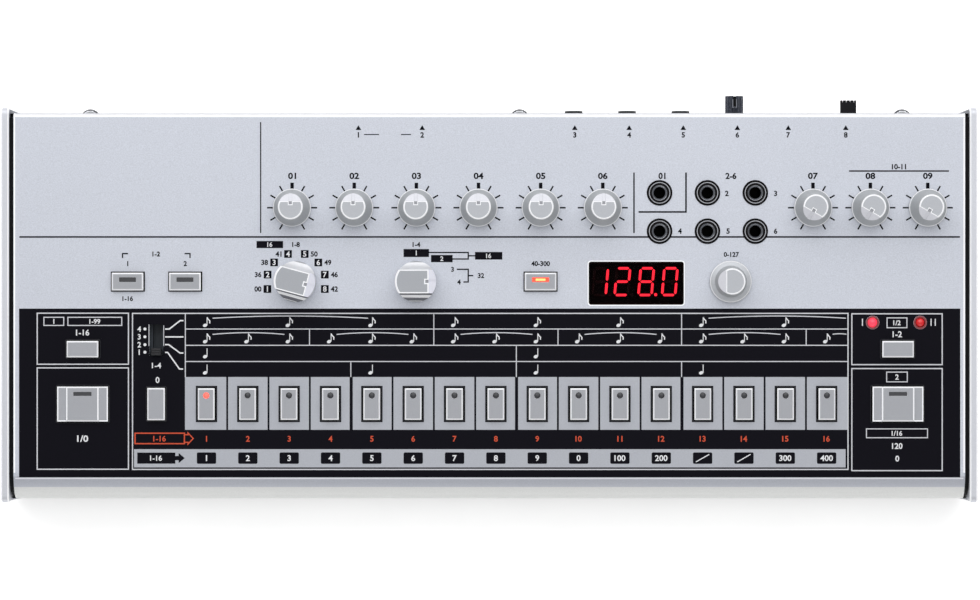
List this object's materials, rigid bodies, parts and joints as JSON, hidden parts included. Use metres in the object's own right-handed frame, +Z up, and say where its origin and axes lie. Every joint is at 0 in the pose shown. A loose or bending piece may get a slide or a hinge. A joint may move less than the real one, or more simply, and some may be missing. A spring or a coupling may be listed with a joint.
{
  "type": "drum machine",
  "caption": "Table-top rhythm machine: folded metal panel on a tray between end cheeks, with rotary knobs, selectors, a row of step buttons, display and jacks.",
  "frame": {"origin": "on the table under the middle of the bounding box", "axes": "+X to the player's right, +Y to the rear sockets, +Z up"},
  "size_m": [0.308, 0.1304, 0.051],
  "materials": {
    "panel_metal": "fine silver metallic paint, satin",
    "cheek_metal": "light silver, satin, bright bevelled edges",
    "tray_plastic": "moulded, fine grain",
    "knob_plastic": "silver painted plastic, satin",
    "button_plastic": "silver painted plastic, satin",
    "slider_plastic": "moulded, smooth",
    "foot_rubber": "matt",
    "screw_steel": "plated",
    "circuit_board": "solder mask",
    "window_acrylic": "smoked dark red, polished",
    "display_plastic": "moulded",
    "led_lens": "clear red lens",
    "control_plastic": "moulded",
    "socket_plastic": "moulded",
    "speaker_steel": "paper cone on a pressed frame"
  },
  "bodies": {
    "case": {"top_cover": "panel_metal", "bottom_case": "tray_plastic", "left_cheek": "cheek_metal", "right_cheek": "cheek_metal", "rubber_feet": "foot_rubber", "case_screws": "screw_steel", "control_board": "circuit_board", "jack_board": "circuit_board", "display_window": "window_acrylic", "display_module": "display_plastic", "indicator_leds": "led_lens", "rotary_controls": "control_plastic", "tact_switches": "control_plastic", "slide_switches": "control_plastic", "trigger_jacks": "socket_plastic", "audio_jacks": "socket_plastic", "midi_sockets": "socket_plastic", "usb_socket": "screw_steel", "speaker": "speaker_steel", "battery_contacts": "screw_steel"},
    "accent_knob": {"accent_knob": "knob_plastic"},
    "bass_drum_knob": {"bass_drum_knob": "knob_plastic"},
    "snare_drum_knob": {"snare_drum_knob": "knob_plastic"},
    "tom_knob": {"tom_knob": "knob_plastic"},
    "cymbal_knob": {"cymbal_knob": "knob_plastic"},
    "hihat_knob": {"hihat_knob": "knob_plastic"},
    "drive_knob": {"drive_knob": "knob_plastic"},
    "delay_time_knob": {"delay_time_knob": "knob_plastic"},
    "delay_depth_knob": {"delay_depth_knob": "knob_plastic"},
    "value_knob": {"value_knob": "knob_plastic"},
    "instrument_selector": {"instrument_selector": "knob_plastic"},
    "mode_selector": {"mode_selector": "knob_plastic"},
    "volume_knob": {"volume_knob": "slider_plastic"},
    "power_slider": {"power_slider": "slider_plastic"},
    "scale_slider": {"scale_slider": "slider_plastic"},
    "step_button_01": {"step_button_01": "button_plastic"},
    "step_button_02": {"step_button_02": "button_plastic"},
    "step_button_03": {"step_button_03": "button_plastic"},
    "step_button_04": {"step_button_04": "button_plastic"},
    "step_button_05": {"step_button_05": "button_plastic"},
    "step_button_06": {"step_button_06": "button_plastic"},
    "step_button_07": {"step_button_07": "button_plastic"},
    "step_button_08": {"step_button_08": "button_plastic"},
    "step_button_09": {"step_button_09": "button_plastic"},
    "step_button_10": {"step_button_10": "button_plastic"},
    "step_button_11": {"step_button_11": "button_plastic"},
    "step_button_12": {"step_button_12": "button_plastic"},
    "step_button_13": {"step_button_13": "button_plastic"},
    "step_button_14": {"step_button_14": "button_plastic"},
    "step_button_15": {"step_button_15": "button_plastic"},
    "step_button_16": {"step_button_16": "button_plastic"},
    "run_stop_button": {"run_stop_button": "button_plastic"},
    "tap_button": {"tap_button": "button_plastic"},
    "pattern_clear_button": {"pattern_clear_button": "button_plastic"},
    "pattern_group_button": {"pattern_group_button": "button_plastic"},
    "function_button": {"function_button": "button_plastic"},
    "menu_button": {"menu_button": "button_plastic"},
    "step_loop_button": {"step_loop_button": "button_plastic"},
    "tempo_button": {"tempo_button": "button_plastic"},
    "battery_cover": {"battery_cover": "tray_plastic"}
  },
  "joints": [
    {"name": "accent_turn", "type": "hinge", "parent": "case", "child": "accent_knob", "pos_m": [-0.0622, 0.02753, 0.03873], "axis": [0, 0.0698, -0.9976], "range_deg": [-150, 150]},
    {"name": "bass_drum_turn", "type": "hinge", "parent": "case", "child": "bass_drum_knob", "pos_m": [-0.0426, 0.02753, 0.03873], "axis": [0, 0.0698, -0.9976], "range_deg": [-150, 150]},
    {"name": "snare_drum_turn", "type": "hinge", "parent": "case", "child": "snare_drum_knob", "pos_m": [-0.023, 0.02753, 0.03873], "axis": [0, 0.0698, -0.9976], "range_deg": [-150, 150]},
    {"name": "tom_turn", "type": "hinge", "parent": "case", "child": "tom_knob", "pos_m": [-0.0034, 0.02753, 0.03873], "axis": [0, 0.0698, -0.9976], "range_deg": [-150, 150]},
    {"name": "cymbal_turn", "type": "hinge", "parent": "case", "child": "cymbal_knob", "pos_m": [0.0162, 0.02753, 0.03873], "axis": [0, 0.0698, -0.9976], "range_deg": [-150, 150]},
    {"name": "hihat_turn", "type": "hinge", "parent": "case", "child": "hihat_knob", "pos_m": [0.0358, 0.02753, 0.03873], "axis": [0, 0.0698, -0.9976], "range_deg": [-150, 150]},
    {"name": "drive_turn", "type": "hinge", "parent": "case", "child": "drive_knob", "pos_m": [0.1021, 0.02753, 0.03873], "axis": [0, 0.0698, -0.9976], "range_deg": [0, 300]},
    {"name": "delay_time_turn", "type": "hinge", "parent": "case", "child": "delay_time_knob", "pos_m": [0.1202, 0.02753, 0.03873], "axis": [0, 0.0698, -0.9976], "range_deg": [0, 300]},
    {"name": "delay_depth_turn", "type": "hinge", "parent": "case", "child": "delay_depth_knob", "pos_m": [0.1383, 0.02753, 0.03873], "axis": [0, 0.0698, -0.9976], "range_deg": [0, 300]},
    {"name": "value_turn", "type": "hinge", "parent": "case", "child": "value_knob", "pos_m": [0.0761, 0.00428, 0.03711], "axis": [0, 0.0698, -0.9976], "continuous": true},
    {"name": "instrument_turn", "type": "hinge", "parent": "case", "child": "instrument_selector", "pos_m": [-0.061, 0.00428, 0.03711], "axis": [0, 0.0698, -0.9976], "range_deg": [-210, 0]},
    {"name": "mode_turn", "type": "hinge", "parent": "case", "child": "mode_selector", "pos_m": [-0.0231, 0.00428, 0.03711], "axis": [0, 0.0698, -0.9976], "range_deg": [-90, 0]},
    {"name": "volume_turn", "type": "hinge", "parent": "case", "child": "volume_knob", "pos_m": [0.0784, 0.0587, 0.02087], "axis": [0, -0.9976, -0.0698], "range_deg": [-150, 150]},
    {"name": "power_slide", "type": "slide", "parent": "case", "child": "power_slider", "axis": [-1, 0, 0], "range_m": [0, 0.004]},
    {"name": "scale_slide", "type": "slide", "parent": "case", "child": "scale_slider", "axis": [0, 0.9976, 0.0698], "range_m": [0, 0.0073]},
    {"name": "step_01_press", "type": "slide", "parent": "case", "child": "step_button_01", "axis": [0, 0.0698, -0.9976], "range_m": [0, 0.0006], "stiffness_N_per_m": 400, "springref_m": -0.001},
    {"name": "step_02_press", "type": "slide", "parent": "case", "child": "step_button_02", "axis": [0, 0.0698, -0.9976], "range_m": [0, 0.0006], "stiffness_N_per_m": 400, "springref_m": -0.001},
    {"name": "step_03_press", "type": "slide", "parent": "case", "child": "step_button_03", "axis": [0, 0.0698, -0.9976], "range_m": [0, 0.0006], "stiffness_N_per_m": 400, "springref_m": -0.001},
    {"name": "step_04_press", "type": "slide", "parent": "case", "child": "step_button_04", "axis": [0, 0.0698, -0.9976], "range_m": [0, 0.0006], "stiffness_N_per_m": 400, "springref_m": -0.001},
    {"name": "step_05_press", "type": "slide", "parent": "case", "child": "step_button_05", "axis": [0, 0.0698, -0.9976], "range_m": [0, 0.0006], "stiffness_N_per_m": 400, "springref_m": -0.001},
    {"name": "step_06_press", "type": "slide", "parent": "case", "child": "step_button_06", "axis": [0, 0.0698, -0.9976], "range_m": [0, 0.0006], "stiffness_N_per_m": 400, "springref_m": -0.001},
    {"name": "step_07_press", "type": "slide", "parent": "case", "child": "step_button_07", "axis": [0, 0.0698, -0.9976], "range_m": [0, 0.0006], "stiffness_N_per_m": 400, "springref_m": -0.001},
    {"name": "step_08_press", "type": "slide", "parent": "case", "child": "step_button_08", "axis": [0, 0.0698, -0.9976], "range_m": [0, 0.0006], "stiffness_N_per_m": 400, "springref_m": -0.001},
    {"name": "step_09_press", "type": "slide", "parent": "case", "child": "step_button_09", "axis": [0, 0.0698, -0.9976], "range_m": [0, 0.0006], "stiffness_N_per_m": 400, "springref_m": -0.001},
    {"name": "step_10_press", "type": "slide", "parent": "case", "child": "step_button_10", "axis": [0, 0.0698, -0.9976], "range_m": [0, 0.0006], "stiffness_N_per_m": 400, "springref_m": -0.001},
    {"name": "step_11_press", "type": "slide", "parent": "case", "child": "step_button_11", "axis": [0, 0.0698, -0.9976], "range_m": [0, 0.0006], "stiffness_N_per_m": 400, "springref_m": -0.001},
    {"name": "step_12_press", "type": "slide", "parent": "case", "child": "step_button_12", "axis": [0, 0.0698, -0.9976], "range_m": [0, 0.0006], "stiffness_N_per_m": 400, "springref_m": -0.001},
    {"name": "step_13_press", "type": "slide", "parent": "case", "child": "step_button_13", "axis": [0, 0.0698, -0.9976], "range_m": [0, 0.0006], "stiffness_N_per_m": 400, "springref_m": -0.001},
    {"name": "step_14_press", "type": "slide", "parent": "case", "child": "step_button_14", "axis": [0, 0.0698, -0.9976], "range_m": [0, 0.0006], "stiffness_N_per_m": 400, "springref_m": -0.001},
    {"name": "step_15_press", "type": "slide", "parent": "case", "child": "step_button_15", "axis": [0, 0.0698, -0.9976], "range_m": [0, 0.0006], "stiffness_N_per_m": 400, "springref_m": -0.001},
    {"name": "step_16_press", "type": "slide", "parent": "case", "child": "step_button_16", "axis": [0, 0.0698, -0.9976], "range_m": [0, 0.0006], "stiffness_N_per_m": 400, "springref_m": -0.001},
    {"name": "run_stop_press", "type": "slide", "parent": "case", "child": "run_stop_button", "axis": [0, 0.0698, -0.9976], "range_m": [0, 0.0006], "stiffness_N_per_m": 400, "springref_m": -0.001},
    {"name": "tap_press", "type": "slide", "parent": "case", "child": "tap_button", "axis": [0, 0.0698, -0.9976], "range_m": [0, 0.0006], "stiffness_N_per_m": 400, "springref_m": -0.001},
    {"name": "pattern_clear_press", "type": "slide", "parent": "case", "child": "pattern_clear_button", "axis": [0, 0.0698, -0.9976], "range_m": [0, 0.0006], "stiffness_N_per_m": 400, "springref_m": -0.001},
    {"name": "pattern_group_press", "type": "slide", "parent": "case", "child": "pattern_group_button", "axis": [0, 0.0698, -0.9976], "range_m": [0, 0.0006], "stiffness_N_per_m": 400, "springref_m": -0.001},
    {"name": "function_press", "type": "slide", "parent": "case", "child": "function_button", "axis": [0, 0.0698, -0.9976], "range_m": [0, 0.0006], "stiffness_N_per_m": 400, "springref_m": -0.001},
    {"name": "menu_press", "type": "slide", "parent": "case", "child": "menu_button", "axis": [0, 0.0698, -0.9976], "range_m": [0, 0.0006], "stiffness_N_per_m": 400, "springref_m": -0.001},
    {"name": "step_loop_press", "type": "slide", "parent": "case", "child": "step_loop_button", "axis": [0, 0.0698, -0.9976], "range_m": [0, 0.0006], "stiffness_N_per_m": 400, "springref_m": -0.001},
    {"name": "tempo_press", "type": "slide", "parent": "case", "child": "tempo_button", "axis": [0, 0.0698, -0.9976], "range_m": [0, 0.0006], "stiffness_N_per_m": 400, "springref_m": -0.001},
    {"name": "battery_cover_hinge", "type": "hinge", "parent": "case", "child": "battery_cover", "pos_m": [0, 0.01729, 0.0025], "axis": [1, 0, 0], "range_deg": [0, 60]}
  ]
}
